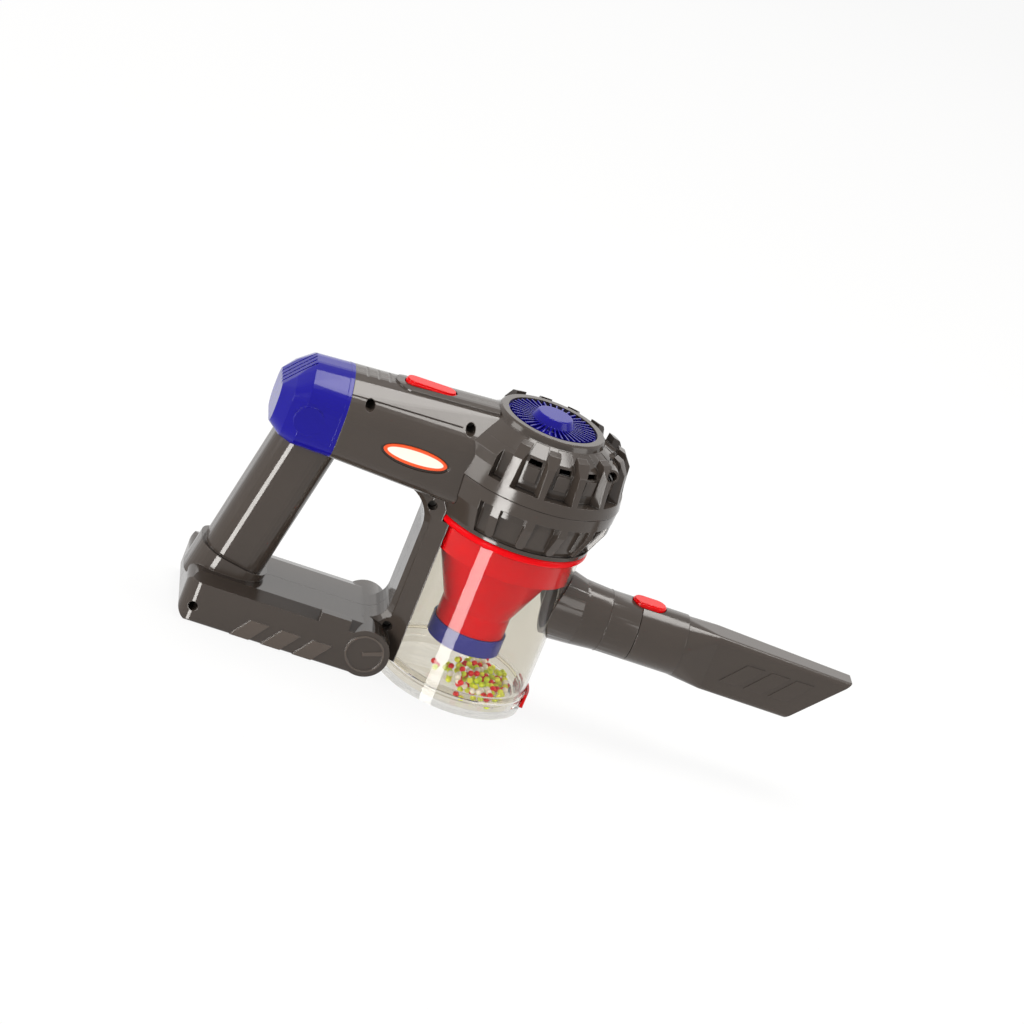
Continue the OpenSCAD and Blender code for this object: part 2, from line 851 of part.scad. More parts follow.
module base(inset) {
    side = [[base_front_x, 0, 0], [base_front_x, base_h + base_top_rise, 0],
        [base_rear_x, base_h + base_top_rise, base_corner_r], [base_rear_x, 0, base_corner_r]];
    section = both_sides([[base_half_w, 0, base_edge_r], [base_half_w, base_h, 0],
        [base_half_w - base_top_in, base_h + base_top_rise, 0]]);
    plan = [[base_front_x, -base_half_w, 0], [base_front_x, base_half_w, 0],
        [base_rear_x, base_half_w, base_plan_r], [base_rear_x, -base_half_w, base_plan_r]];
    intersection() {
        across(far, outline(side, inset));
        along(base_rear_x - overrun, base_len + far, outline(section, inset));
        translate([0, 0, -far]) linear_extrude(2 * far) polygon(outline(plan, inset));
    }
}

module barrel() {
    cross_cylinder(base_front_x, barrel_z, barrel_r, -base_half_w, base_half_w);
}

module barrel_hollow() {
    from = hinge_pin_half + shell_wall;
    for (y = [from, shell_wall - base_half_w])
        cross_cylinder(base_front_x, barrel_z, barrel_r - shell_wall, y, y + base_half_w - shell_wall - from);
}

// Strips, ring and hook raised on one side of the base, and the tab on the right
module base_trim(side) {
    y_low = side < 0 ? -base_half_w - strip_t : base_half_w - strip_t;
    for (k = [0:strip_count - 1])
        intersection() {
            across(far, slanted(strip_x + k * strip_pitch, strip_up, strip_w, strip_h, strip_lean));
            translate([-far, y_low, 0]) cube([2 * far, 2 * strip_t, far]);
        }
    difference() {
        cross_cylinder(base_front_x, barrel_z, barrel_ring_r, y_low, y_low + 2 * strip_t);
        cross_cylinder(base_front_x, barrel_z, barrel_ring_r - barrel_ring_w, -far, far);
    }
    intersection() {
        translate([base_front_x, y_low, barrel_z]) rotate([0, -hook_lean, 0])
            translate([-barrel_ring_w, 0, -barrel_ring_w])
                cube([barrel_r, 2 * strip_t, 2 * barrel_ring_w]);
        cross_cylinder(base_front_x, barrel_z, barrel_ring_r, -far, far);
    }
    if (side < 0)
        translate([tab_x, -base_half_w, base_h - tab_root]) cube([tab_len, tab_w, tab_h + tab_root]);
}

// Battery bay: the opening under the cells and the walls that hold the contacts

module bay_opening() {
    translate([bay_rear_x, -door_half_w - seat_gap, -overrun])
        cube([door_len, 2 * (door_half_w + seat_gap), door_inset + door_t + overrun]);
}

module bay_walls() {
    half_w = base_half_w - shell_wall / 2;
    low = door_inset + door_t + seat_gap;
    for (x = [bay_rear_x - bay_wall, bay_front_x])
        translate([x, -half_w, low]) cube([bay_wall, 2 * half_w, base_h - low]);
    translate([bay_front_x, -screw_boss_r, low]) cube([door_screw_end, 2 * screw_boss_r, base_h - low]);
}

// Body shells

module power_opening(clearance) {
    translate([power_x, 0, switch_z + switch_h])
        linear_extrude(far) polygon(pill(power_len + 2 * clearance, power_w + 2 * clearance));
}

module badge_recess(side) {
    floor_y = housing_rear_half_w - badge_recess_d;
    translate([badge_x, side < 0 ? -floor_y : floor_y + far, badge_z]) rotate([90, 0, 0])
        linear_extrude(far) polygon(oval(badge_len + badge_margin, badge_h + badge_margin));
}

module badge(side) {
    translate([badge_x, side < 0 ? badge_t - badge_face : badge_face, badge_z]) rotate([90, 0, 0])
        linear_extrude(badge_t) polygon(oval(badge_len, badge_h));
}

module badge_right() { color([0.95, 0.4, 0.1]) badge(-1); }
module badge_left() { color([0.95, 0.4, 0.1]) badge(1); }

module body_form() {
    drum_outer();
    housing(0);
    spine();
    handle_frame();
    grip(0);
    grip_foot();
    base(0);
    barrel();
}

module body_hollow() {
    drum_inner();
    housing(shell_wall);
    grip(shell_wall);
    base(shell_wall);
    barrel_hollow();
    bay_opening();
}

// Room for the lid's knuckle at the foot of the post
module hinge_room() {
    room_r = knuckle_r + slip_gap;
    room_half_w = knuckle_half_w + slip_gap;
    cross_cylinder(hinge_x, hinge_z, room_r, -room_half_w, room_half_w);
    translate([hinge_x - room_r, -room_half_w, -overrun])
        cube([2 * room_r, 2 * room_half_w, hinge_z + overrun]);
    translate([hinge_x, -room_half_w, -overrun])
        cube([far / 2, 2 * room_half_w, hinge_z + room_r + overrun]);
    cross_cylinder(hinge_x, hinge_z, pin_r + pin_gap, -hinge_pin_half - pin_gap, hinge_pin_half + pin_gap);
}

module screw_bosses() {
    for (place = screw_places)
        cross_cylinder(place.x, place.y, screw_boss_r, -far, far);
}

// Clearance holes on the right, pilot holes on the left
module screw_holes(side) {
    for (place = screw_places)
        if (side < 0) {
            cross_cylinder(place.x, place.y, screw_hole_r, -far, -screw_seat);
            cross_cylinder(place.x, place.y, screw_r + seat_gap, -far, far);
        } else {
            cross_cylinder(place.x, place.y, screw_r + hub_bore_gap, -far, screw_len - screw_seat);
        }
}

module switch_shelf() {
    translate([power_x - shelf_len / 2, -housing_half_w + shell_wall, switch_z - shelf_t])
        cube([shelf_len, 2 * (housing_half_w - shell_wall), shelf_t]);
}

// The whole moulding, with the screw bosses left standing in its hollow
module body_moulding() {
    difference() {
        body_form();
        difference() {
            body_hollow();
            screw_bosses();
        }
    }
    intersection() {
        switch_shelf();
        housing(0);
    }
    bay_walls();
}

module body_shell(side) {
    color([0.36, 0.34, 0.32])
        difference() {
            union() {
                intersection() {
                    body_moulding();
                    half_space(side);
                }
                base_trim(side);
            }
            bin_stack(seat_gap);
            hinge_room();
            power_opening(slip_gap);
            thumb_grooves();
            panel_lines();
            badge_recess(side);
            cap_form(-seat_gap);
            screw_holes(side);
            translate([door_screw_x, 0, 0])
                cylinder(r = screw_r + hub_bore_gap, h = door_inset + door_screw_len);
        }
}

module body_shell_right() { body_shell(-1); }
module body_shell_left() { body_shell(1); }

// Power button, its spring and the switch

module power_button() {
    top = power_deck_z + power_proud;
    color([0.85, 0.02, 0.03]) translate([power_x, 0, 0]) {
        translate([0, 0, power_flange_z]) linear_extrude(top - power_flange_z - power_step_h)
            polygon(pill(power_len, power_w));
        translate([0, 0, power_flange_z]) linear_extrude(top - power_flange_z)
            polygon(pill(power_len - 2 * power_step, power_w - 2 * power_step));
        translate([0, 0, power_flange_z]) linear_extrude(power_flange_t)
            polygon(pill(power_len + 2 * power_flange, power_w + 2 * power_flange));
    }
}

module button_spring() {
    low = switch_z + switch_h;
    color([0.75, 0.75, 0.78]) translate([power_x, 0, low])
        difference() {
            cylinder(r = spring_r, h = power_flange_z - low);
            translate([0, 0, -overrun]) cylinder(r = spring_r - spring_wire, h = far);
        }
}

module power_switch() {
    color([0.1, 0.1, 0.1]) {
        translate([power_x - switch_len / 2, -switch_w / 2, switch_z]) cube([switch_len, switch_w, switch_h]);
        translate([power_x, 0, switch_z]) cylinder(r = plunger_r, h = switch_h + plunger_h - slip_gap);
    }
}

// Vent disc: a plate with radial fins and a domed boss

function fin_corners(outer_r, inner_r) =
    [[inner_r, -fin_share], [outer_r, -fin_share / 2], [outer_r, fin_share / 2], [inner_r, fin_share]];

function star(outer_r, inner_r, count) =
    [for (i = [0:count - 1]) let (a = i * 360 / count)
        for (k = fin_corners(outer_r, inner_r))
            [k.x * cos(a + k.y * 180 / count), k.x * sin(a + k.y * 180 / count)]];

module vent_disc() {
    plate_z = top_z - vent_seat_h;
    dome_r = vent_r * dome_share;
    color([0.15, 0.13, 0.65]) {
        translate([0, 0, plate_z]) cylinder(r = vent_r, h = vent_plate_h);
        translate([0, 0, plate_z + vent_plate_h - slice])
            linear_extrude(fin_h) polygon(star(vent_r - fin_edge, dome_r * fin_root_share, fin_count));
        translate([0, 0, plate_z + vent_plate_h - slice]) rotate_extrude()
            polygon(outline([[0, 0, 0], [dome_r, 0, 0], [dome_r * dome_top_share, dome_h, dome_edge_r],
                [0, dome_h, 0]]));
    }
}

// Collar, shroud and filter

// Upright bars with round lower ends, one at each rib
module collar_bars() {
    low = collar_pocket_z + bar_up;
    for (k = [-rib_reach:rib_reach])
        rotate([0, 0, k * rib_angle])
            along(collar_foot_r - collar_wall, far,
                [for (p = pill(far, bar_w)) [p.y, low + far / 2 + p.x]]);
}

module cyclone_collar() {
    inner_r = collar_foot_r - collar_wall;
    pocket_top = collar_pocket_z + collar_pocket_h;
    reach = (rib_reach + 1 / 2) * rib_angle;
    color([0.38, 0.36, 0.34])
        difference() {
            rotate_extrude() polygon(concat(collar_points(),
                [[inner_r, collar_z + collar_h], [inner_r, collar_z]]));
            difference() {
                swept(-reach, 2 * reach, [[collar_foot_r - collar_toe_d, collar_pocket_z],
                    [far, collar_pocket_z], [far, pocket_top], [collar_knee_r - collar_pocket_d, pocket_top],
                    [collar_knee_r - collar_pocket_d, collar_z + collar_knee_h]]);
                collar_bars();
            }
            translate([0, 0, bracket_z]) cylinder(r = bracket_r + seat_gap, h = far);
        }
}

module cyclone_shroud() {
    skirt_r = bin_r - bin_wall - seat_gap;
    skirt_z = rim_z - skirt_h;
    neck_z = skirt_z - cone_h;
    w = bin_wall;
    rim_x = bin_r + rim_lip;
    color([0.85, 0.02, 0.04]) rotate_extrude() polygon(outline([
        [rim_x, rim_z, rim_round], [rim_x, rim_z + rim_h, rim_round], [skirt_r - w, rim_z + rim_h, 0],
        [skirt_r - w, skirt_z + w, 0], [funnel_top_r - w, skirt_z + w, 0],
        [funnel_neck_r - w, neck_z, 0], [funnel_neck_r - w, neck_z - neck_h, 0],
        [funnel_neck_r, neck_z - neck_h, 0], [funnel_neck_r, neck_z, 0], [funnel_top_r, skirt_z, 0],
        [skirt_r, skirt_z, 0], [skirt_r, rim_z, 0]]));
}

module filter_ring() {
    bore = funnel_neck_r + seat_gap;
    color([0.28, 0.28, 0.62]) translate([0, 0, filter_z]) difference() {
        cylinder(r = bore + filter_wall, h = filter_h);
        translate([0, 0, filter_floor]) cylinder(r = bore, h = filter_h);
        translate([0, 0, -overrun]) cylinder(r = bore - filter_lip, h = filter_h);
    }
}

module filter_screen() {
    color([0.9, 0.9, 0.88]) translate([0, 0, filter_z + filter_floor])
        difference() {
            cylinder(r = funnel_neck_r - seat_gap, h = screen_t);
            for (ring = [1:screen_rings], k = [0:6 * ring - 1])
                rotate([0, 0, k * 60 / ring]) translate([ring * screen_pitch, 0, -overrun])
                    cylinder(r = screen_hole_r, h = screen_t + 2 * overrun);
        }
}

// Bin, lid and latch

module dust_bin() {
    color([0.85, 0.84, 0.8, 0.4]) difference() {
        translate([0, 0, bin_z]) cylinder(r = bin_r, h = bin_h);
        translate([0, 0, bin_z - overrun]) cylinder(r = bin_r - bin_wall, h = bin_h + 2 * overrun);
        x_cylinder(0, inlet_z, duct_r + seat_gap, far);
    }
}

// Notch in the lid's rim for the latch, and the bore of the latch's pin
module latch_notch() {
    room_r = latch_knuckle_r + slip_gap;
    half_w = latch_root_w / 2 + slip_gap;
    cross_cylinder(latch_pin_x, latch_pin_z, room_r, -half_w, half_w);
    translate([latch_pin_x - room_r, -half_w, -overrun]) cube([far, 2 * half_w, latch_pin_z + overrun]);
    translate([latch_pin_x, -half_w, -overrun]) cube([far, 2 * half_w, latch_pin_z + room_r + overrun]);
    cross_cylinder(latch_pin_x, latch_pin_z, latch_pin_r + pin_gap,
        -half_w - latch_ear - pin_gap, half_w + latch_ear + pin_gap);
}

module bin_lid() {
    lip_r = bin_r - bin_wall - slip_gap;
    lip_top = lid_h + lid_lip_h;
    color([0.85, 0.84, 0.8, 0.4]) difference() {
        union() {
            rotate_extrude() polygon([[0, 0], [lid_r, 0], [lid_r, lid_h], [lip_r, lid_h], [lip_r, lip_top],
                [lip_r - bin_wall, lip_top], [lip_r - bin_wall, lid_step_h], [lid_step_r, lid_step_h],
                [lid_step_r, lid_floor], [0, lid_floor]]);
            cross_cylinder(hinge_x, hinge_z, knuckle_r, -knuckle_half_w, knuckle_half_w);
            translate([hinge_x, -knuckle_half_w, hinge_z - knuckle_r])
                cube([hinge_back + bin_wall, 2 * knuckle_half_w, 2 * knuckle_r]);
            translate([track_x - track_w / 2, -track_len / 2, lid_floor]) difference() {
                cube([track_w, track_len, track_h]);
                translate([track_wall, track_wall, 0])
                    cube([track_w - 2 * track_wall, track_len - 2 * track_wall, far]);
            }
        }
        cross_cylinder(hinge_x, hinge_z, pin_r + pin_gap, -far, far);
        latch_notch();
    }
}

module lid_hinge_pin() {
    color([0.75, 0.75, 0.78])
        cross_cylinder(hinge_x, hinge_z, pin_r, -hinge_pin_half, hinge_pin_half);
}

module bin_latch() {
    wing_z = latch_pin_z + latch_wing_up;
    color([0.85, 0.02, 0.03]) difference() {
        union() {
            intersection() {
                translate([0, 0, wing_z]) difference() {
                    cylinder(r = latch_out_r, h = latch_h - wing_z);
                    translate([0, 0, -overrun]) cylinder(r = latch_in_r, h = far);
                }
                translate([0, -latch_w / 2, 0]) cube([far, latch_w, far]);
            }
            intersection() {
                translate([latch_pin_x, -latch_root_w / 2, latch_foot_z])
                    cube([far, latch_root_w, latch_pin_z + latch_knuckle_r - latch_foot_z]);
                cylinder(r = latch_out_r, h = far);
            }
            cross_cylinder(latch_pin_x, latch_pin_z, latch_knuckle_r, -latch_root_w / 2, latch_root_w / 2);
        }
        cross_cylinder(latch_pin_x, latch_pin_z, latch_pin_r + pin_gap, -far, far);
    }
}

module latch_pin() {
    half_w = latch_root_w / 2 + slip_gap + latch_ear;
    color([0.75, 0.75, 0.78])
        cross_cylinder(latch_pin_x, latch_pin_z, latch_pin_r, -half_w, half_w);
}

// Inlet duct: a tube through the bin's wall, flared to a saddle outside it

module inlet_duct() {
    color([0.4, 0.38, 0.36]) difference() {
        union() {
            difference() {
                union() {
                    hull() {
                        x_cylinder(bin_r + flare_mid_len, inlet_z, duct_r + flare_mid_out, slice);
                        translate([0, 0, inlet_z + flare_rise])
                            along(bin_r * flare_root_share, slice, oval(2 * flare_half_w, 2 * flare_half_h));
                    }
                    translate([bin_r + flare_mid_len, 0, inlet_z]) rotate([0, 90, 0])
                        cylinder(r1 = duct_r + flare_mid_out, r2 = duct_r, h = flare_len - flare_mid_len);
                    x_cylinder(duct_len - duct_step_in, inlet_z, duct_r + duct_step, duct_step);
                }
                cylinder(r = bin_r + seat_gap, h = far);
            }
            x_cylinder(duct_inner_x, inlet_z, duct_r, duct_len - duct_inner_x);
        }
        x_cylinder(0, inlet_z, spigot_r + pin_gap, far);
        translate([release_x, 0, inlet_z]) linear_extrude(far)
            polygon(pill(release_len + 2 * slip_gap, release_w + 2 * slip_gap));
    }
}

// Crevice nozzle: a round neck that flattens to a narrow slanted mouth

function nozzle_x(run) = duct_len + slip_gap + run;
function nozzle_axis(run) = inlet_z - nozzle_drop * run / nozzle_len;

module nozzle_slice(run, height, width, inset) {
    axis = nozzle_axis(run);
    half_h = height / 2 - inset;
    half_w = width / 2 - inset;
    along(nozzle_x(run), slice, outline(both_sides([
        [half_w, axis - half_h, nozzle_edge_r], [half_w, axis + half_h, nozzle_edge_r]])));
}

module nozzle_form(inset) {
    x_cylinder(nozzle_x(0) - inset, inlet_z, duct_r - inset, neck_len);
    hull() {
        x_cylinder(nozzle_x(neck_len - neck_solid / 2), inlet_z, duct_r - neck_step - inset, neck_solid / 2);
        nozzle_slice(neck_len + nozzle_blend, nozzle_root_h, nozzle_root_w, inset);
    }
    hull() {
        nozzle_slice(neck_len + nozzle_blend, nozzle_root_h, nozzle_root_w, inset);
        nozzle_slice(nozzle_len + inset, nozzle_h, nozzle_w, inset);
    }
}

module crevice_nozzle() {
    mouth_lean = atan(mouth_run / nozzle_h);
    strip_z = nozzle_axis(nozzle_len / 2) - nozzle_strip_h / 2;
    color([0.4, 0.38, 0.36]) difference() {
        union() {
            nozzle_form(0);
            x_cylinder(nozzle_x(0) - spigot_len, inlet_z, spigot_r, spigot_len + neck_solid);
            intersection() {
                nozzle_form(-nozzle_strip_t);
                for (k = [0:nozzle_strip_count - 1])
                    across(far, slanted(nozzle_x(nozzle_strip_x) + k * nozzle_strip_pitch, strip_z,
                        nozzle_strip_w, nozzle_strip_h, nozzle_strip_lean));
            }
        }
        difference() {
            nozzle_form(nozzle_wall);
            x_cylinder(0, inlet_z, duct_r, nozzle_x(neck_solid));
        }
        x_cylinder(0, inlet_z, airway_r, nozzle_x(neck_solid + nozzle_wall));
        translate([nozzle_x(nozzle_len), 0, nozzle_axis(nozzle_len) + nozzle_h / 2])
            rotate([0, mouth_lean, 0]) translate([0, -far, -far]) cube([far, 2 * far, 2 * far]);
        translate([release_x, 0, release_z - leaf_h]) linear_extrude(far)
            polygon(pill(release_len + 2 * slip_gap, release_w + 2 * slip_gap));
    }
}

module release_button() {
    color([0.85, 0.02, 0.03]) translate([release_x, 0, release_z]) {
        linear_extrude(release_body_h - release_proud / 2) polygon(pill(release_len, release_w));
        linear_extrude(release_body_h)
            polygon(pill(release_len - 2 * release_step, release_w - 2 * release_step));
    }
}

// Arched leaf between the pocket's floor and the release button
module release_spring() {
    path = [[-leaf_len / 2, 0], [leaf_foot - leaf_len / 2, 0], [-leaf_top / 2, leaf_h - leaf_t]];
    half = concat(path, [for (i = [2:-1:0]) [-path[i].x, path[i].y]]);
    color([0.75, 0.75, 0.78]) translate([release_x, 0, release_z - leaf_h])
        across(leaf_w / 2, concat(half, [for (i = [5:-1:0]) half[i] + [0, leaf_t]]));
}

// Motor and impeller

module motor_bracket() {
    color([0.2, 0.2, 0.2]) difference() {
        translate([0, 0, bracket_z]) cylinder(r = bracket_r, h = bracket_t);
        translate([0, 0, bracket_z - overrun])
            cylinder(r = motor_boss_r + seat_gap, h = bracket_t + 2 * overrun);
        for (k = [0:bracket_hole_count - 1])
            rotate([0, 0, (k + 0.5) * 360 / bracket_hole_count])
                translate([(motor_r + bracket_r) / 2, 0, bracket_z - overrun])
                    cylinder(r = bracket_hole_r, h = bracket_t + 2 * overrun);
    }
}

module motor_can() {
    motor_z = bracket_z + bracket_t;
    color([0.7, 0.7, 0.72]) difference() {
        union() {
            translate([0, 0, motor_z]) cylinder(r = motor_r, h = motor_h);
            translate([0, 0, motor_z - motor_boss_h]) cylinder(r = motor_boss_r, h = motor_boss_h);
        }
        translate([0, 0, motor_z - motor_boss_h - overrun])
            cylinder(r = shaft_r + pin_gap, h = motor_h - shaft_top_gap + motor_boss_h);
    }
}

module motor_shaft() {
    shaft_z = impeller_z + shaft_foot_in;
    color([0.8, 0.8, 0.82]) translate([0, 0, shaft_z])
        cylinder(r = shaft_r, h = bracket_z + motor_h - shaft_top_gap - shaft_z);
}

module impeller() {
    color([0.9, 0.9, 0.9]) translate([0, 0, impeller_z]) difference() {
        union() {
            cylinder(r = hub_r, h = impeller_h);
            translate([0, 0, impeller_h - back_plate_t]) cylinder(r = impeller_r, h = back_plate_t);
            intersection() {
                for (k = [0:blade_count - 1])
                    rotate([0, 0, k * 360 / blade_count]) translate([hub_r - blade_t, 0, 0])
                        rotate([0, 0, blade_lean]) translate([0, -blade_t / 2, 0])
                            cube([impeller_r, blade_t, impeller_h - back_plate_t / 2]);
                cylinder(r = impeller_r, h = impeller_h);
            }
        }
        translate([0, 0, -overrun]) cylinder(r = shaft_r + hub_bore_gap, h = impeller_h + 2 * overrun);
    }
}

// Battery bay pieces

module battery_door() {
    color([0.34, 0.32, 0.3]) difference() {
        translate([bay_rear_x + seat_gap, -door_half_w, door_inset])
            cube([door_len - 2 * seat_gap, 2 * door_half_w, door_t]);
        translate([door_screw_x, 0, 0]) cylinder(r = screw_r + seat_gap, h = far);
        translate([door_screw_x, 0, 0])
            cylinder(r = screw_head_r + seat_gap, h = door_inset + screw_head_h / 2);
    }
}

module battery_door_screw() {
    color([0.75, 0.75, 0.78]) translate([door_screw_x, 0, door_inset]) {
        cylinder(r = screw_head_r, h = screw_head_h / 2);
        cylinder(r = screw_r, h = door_screw_len);
    }
}

function cell_y(k) = (k - (cell_count - 1) / 2) * cell_pitch;

module battery_cells() {
    color([0.8, 0.65, 0.2])
        for (k = [0:cell_count - 1])
            translate([cell_x, cell_y(k), cell_z]) rotate([0, 90, 0])
                cylinder(r = cell_d / 2, h = cell_len);
}

module battery_contacts() {
    color([0.75, 0.75, 0.78])
        for (k = [0:cell_count - 1], x = [bay_rear_x, bay_front_x - contact_t])
            translate([x, cell_y(k) - contact_h / 2, cell_z - contact_h / 2])
                cube([contact_t, contact_h, contact_h]);
}

module battery_springs() {
    color([0.75, 0.75, 0.78])
        for (k = [0:cell_count - 1])
            translate([cell_x + cell_len, cell_y(k), cell_z])
                rotate([0, 90, 0]) difference() {
                    cylinder(r = spring_r, h = spring_len);
                    translate([0, 0, -overrun]) cylinder(r = spring_r - spring_wire, h = far);
                }
}

module housing_screws() {
    color([0.75, 0.75, 0.78])
        for (place = screw_places) {
            cross_cylinder(place.x, place.y, screw_head_r, -screw_seat - screw_head_h, -screw_seat);
            cross_cylinder(place.x, place.y, screw_r, -screw_seat - slice, screw_len - screw_seat - seat_gap);
        }
}

body_shell_right();
body_shell_left();
rear_cap();
power_button();
button_spring();
power_switch();
badge_right();
badge_left();
vent_disc();
cyclone_collar();
cyclone_shroud();
filter_ring();
filter_screen();
dust_bin();
bin_lid();
lid_hinge_pin();
bin_latch();
latch_pin();
inlet_duct();
crevice_nozzle();
release_button();
release_spring();
motor_bracket();
motor_can();
motor_shaft();
impeller();
battery_door();
battery_door_screw();
battery_cells();
battery_contacts();
battery_springs();
housing_screws();
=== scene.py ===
"""Toy vacuum cleaner: finishes, loose beads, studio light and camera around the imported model.

Metres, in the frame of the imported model: origin under the bin, +X to the nozzle, +Z up.
"""

import json
import math
import random

import bmesh
import bpy
from mathutils import Matrix, Vector

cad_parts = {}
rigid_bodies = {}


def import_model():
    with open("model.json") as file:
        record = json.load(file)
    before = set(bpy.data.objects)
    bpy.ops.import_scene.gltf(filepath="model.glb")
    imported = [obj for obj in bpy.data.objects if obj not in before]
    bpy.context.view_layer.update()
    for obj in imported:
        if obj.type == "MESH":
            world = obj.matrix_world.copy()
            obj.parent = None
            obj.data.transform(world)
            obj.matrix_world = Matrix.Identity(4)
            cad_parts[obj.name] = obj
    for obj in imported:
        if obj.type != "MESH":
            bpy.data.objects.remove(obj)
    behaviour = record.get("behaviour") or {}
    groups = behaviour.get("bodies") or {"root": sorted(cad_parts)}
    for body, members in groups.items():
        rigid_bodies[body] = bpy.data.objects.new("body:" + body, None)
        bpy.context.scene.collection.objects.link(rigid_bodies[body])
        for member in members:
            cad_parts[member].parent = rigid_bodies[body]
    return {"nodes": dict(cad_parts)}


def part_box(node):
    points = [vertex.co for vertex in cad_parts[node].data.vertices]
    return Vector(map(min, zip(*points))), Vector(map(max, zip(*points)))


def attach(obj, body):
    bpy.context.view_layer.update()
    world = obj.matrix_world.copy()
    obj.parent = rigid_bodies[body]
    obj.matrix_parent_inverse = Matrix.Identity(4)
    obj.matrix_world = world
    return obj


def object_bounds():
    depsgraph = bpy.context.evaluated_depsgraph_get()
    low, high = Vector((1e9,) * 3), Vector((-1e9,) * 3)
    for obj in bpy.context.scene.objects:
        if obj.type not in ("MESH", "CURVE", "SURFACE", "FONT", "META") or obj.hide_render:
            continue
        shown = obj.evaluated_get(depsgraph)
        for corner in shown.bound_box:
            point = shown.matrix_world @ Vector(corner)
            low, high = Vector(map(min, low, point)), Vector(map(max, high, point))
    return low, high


for leftover in list(bpy.data.objects):
    bpy.data.objects.remove(leftover)

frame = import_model()
cad_low, cad_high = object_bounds()
nodes = frame["nodes"]

MM = 0.001

# Camera, fitted to the photograph's viewing angle
VIEW_AZIMUTH = -11.316
VIEW_ELEVATION = 20.374
VIEW_ROLL = 22.385
VIEW_TARGET = Vector((-1.56, 0.0, 92.25)) * MM
VIEW_DISTANCE = 1.92345
VIEW_REACH = 20.0
SENSOR = 36.0
LENS = 142.4

# Softening of moulded edges: on the mesh, and in the shading alone
EDGE_ROUND = 0.4 * MM
EDGE_STEPS = 2
CREASE = math.radians(30)
FLAT = math.radians(0.3)
WELD = 0.004 * MM
SHADED_ROUND = 0.5 * MM
SHADED_SAMPLES = 6

# Moulded plastic: texture scales per metre, spread of its tone and polish, height of its grain
CLOUD_SCALE = 45.0
SPECK_SCALE = 900.0
SMEAR_SCALE = 130.0
TONE_LOW, TONE_HIGH = 0.93, 1.06
POLISH_LOW, POLISH_HIGH = 0.8, 1.25
GRAIN_H = 0.006 * MM
GRAIN_STRENGTH = 0.35
# Painted highlight along every edge, a paler colour: it starts and ends at these cosines between the rounded
# and the true normal
EDGE_HIGHLIGHT_START, EDGE_HIGHLIGHT_END, EDGE_HIGHLIGHT_MOST = 0.97, 0.8, 0.55
# The middle part of a noise texture's values, which the roughness follows
NOISE_LOW, NOISE_HIGH = 0.3, 0.7

# Clear plastic
CLEAR_TINT = (0.77, 0.745, 0.685, 1.0)
CLEAR_IOR = 1.28
CLEAR_ROUGH_LOW, CLEAR_ROUGH_HIGH = 0.006, 0.02
CLEAR_SMEAR_SCALE = 60.0
FLOW_SCALE = 24.0
FLOW_H = 0.05 * MM
FLOW_STRENGTH = 0.1

# Plated metal: fine lines drawn along Z, and the spread of their tone and polish
DRAWN_SCALE = 2600.0
DRAWN_STRETCH = 0.08
DRAWN_TONE_LOW, DRAWN_TONE_HIGH = 0.85, 1.1
DRAWN_POLISH_LOW, DRAWN_POLISH_HIGH = 0.8, 1.3

# Badge: share of its half length and half height that the cream field fills, and the print's soft edge
BADGE_FIELD_SHARES = (0.875, 0.66)
PRINT_EDGE = 0.015
PRINT_SPECK_SCALE = 700.0
PRINT_ROUGH_LOW, PRINT_ROUGH_HIGH = 0.28, 0.38

# Trim raised on the base's sides: how far out it starts, how high it reaches, and its paler tone
TRIM_SIDE = 30.1 * MM
TRIM_TOP = 24.0 * MM
TRIM_LIGHTER = 1.7

# Beads in the bin: radius, number, and the heap's middle, spread and limits on the lid's floor
BEAD_R = 1.5 * MM
BEAD_COUNT = 150
BEAD_SEED = 11
BEAD_DETAIL = 2
BEAD_MIDDLE = Vector((18.5, -1.0)) * MM
BEAD_SPREAD = Vector((8.0, 9.5)) * MM
BEAD_LIMIT = 29.6 * MM
HEAP_H = 6.3 * MM
LID_FLOOR = 2.0 * MM
TRACK_X = 18.8 * MM
TRACK_HALF_X = 3.6 * MM
TRACK_HALF_Y = 22.6 * MM
TRACK_H = 1.6 * MM

# Studio: a pale floor that glows by a share where it is seen, and a surround that is white where it is seen
FLOOR_SIZE = 8.0
FLOOR_COLOUR = (0.86, 0.86, 0.85, 1.0)
FLOOR_GLOW_SHARE = 0.9
SURROUND_COLOUR = (1.0, 0.99, 0.97, 1.0)
SURROUND_LIGHT = 0.36
WHITE_LIGHT = (1.0, 1.0, 1.0, 1.0)
LAMP_COLOUR = (1.0, 0.975, 0.94)
# Each softbox: name, azimuth, elevation, distance, width, height and radiance
SOFTBOXES = [
    ("strip_left", -30, -12, 1.3, 0.4, 0.85, 24.0),
    ("side_left", -76, 12, 1.3, 0.55, 0.75, 6.5),
    ("overhead", 150, 77, 1.4, 0.75, 0.75, 11.0),
    ("side_right", 66, 20, 1.5, 0.9, 0.9, 3.2),
    ("behind", 176, 22, 1.7, 1.7, 0.8, 0.6),
]

# Sockets of a colour mix node
MIX_FACTOR, MIX_LOW, MIX_HIGH, MIX_RESULT = 0, 6, 7, 2


def node_adder(tree):
    """The function that adds a node to a tree, with its properties and its sockets' values."""
    def add(kind, **values):
        node = tree.nodes.new(kind)
        for key, value in values.items():
            if hasattr(node, key):
                setattr(node, key, value)
            else:
                node.inputs[key.replace("_", " ")].default_value = value
        return node
    return add


def new_material(name):
    """An empty node material: itself, and its functions to link and add nodes, and its output."""
    material = bpy.data.materials.new(name)
    material.use_nodes = True
    tree = material.node_tree
    tree.nodes.clear()
    output = tree.nodes.new("ShaderNodeOutputMaterial")
    return material, tree.links.new, node_adder(tree), output


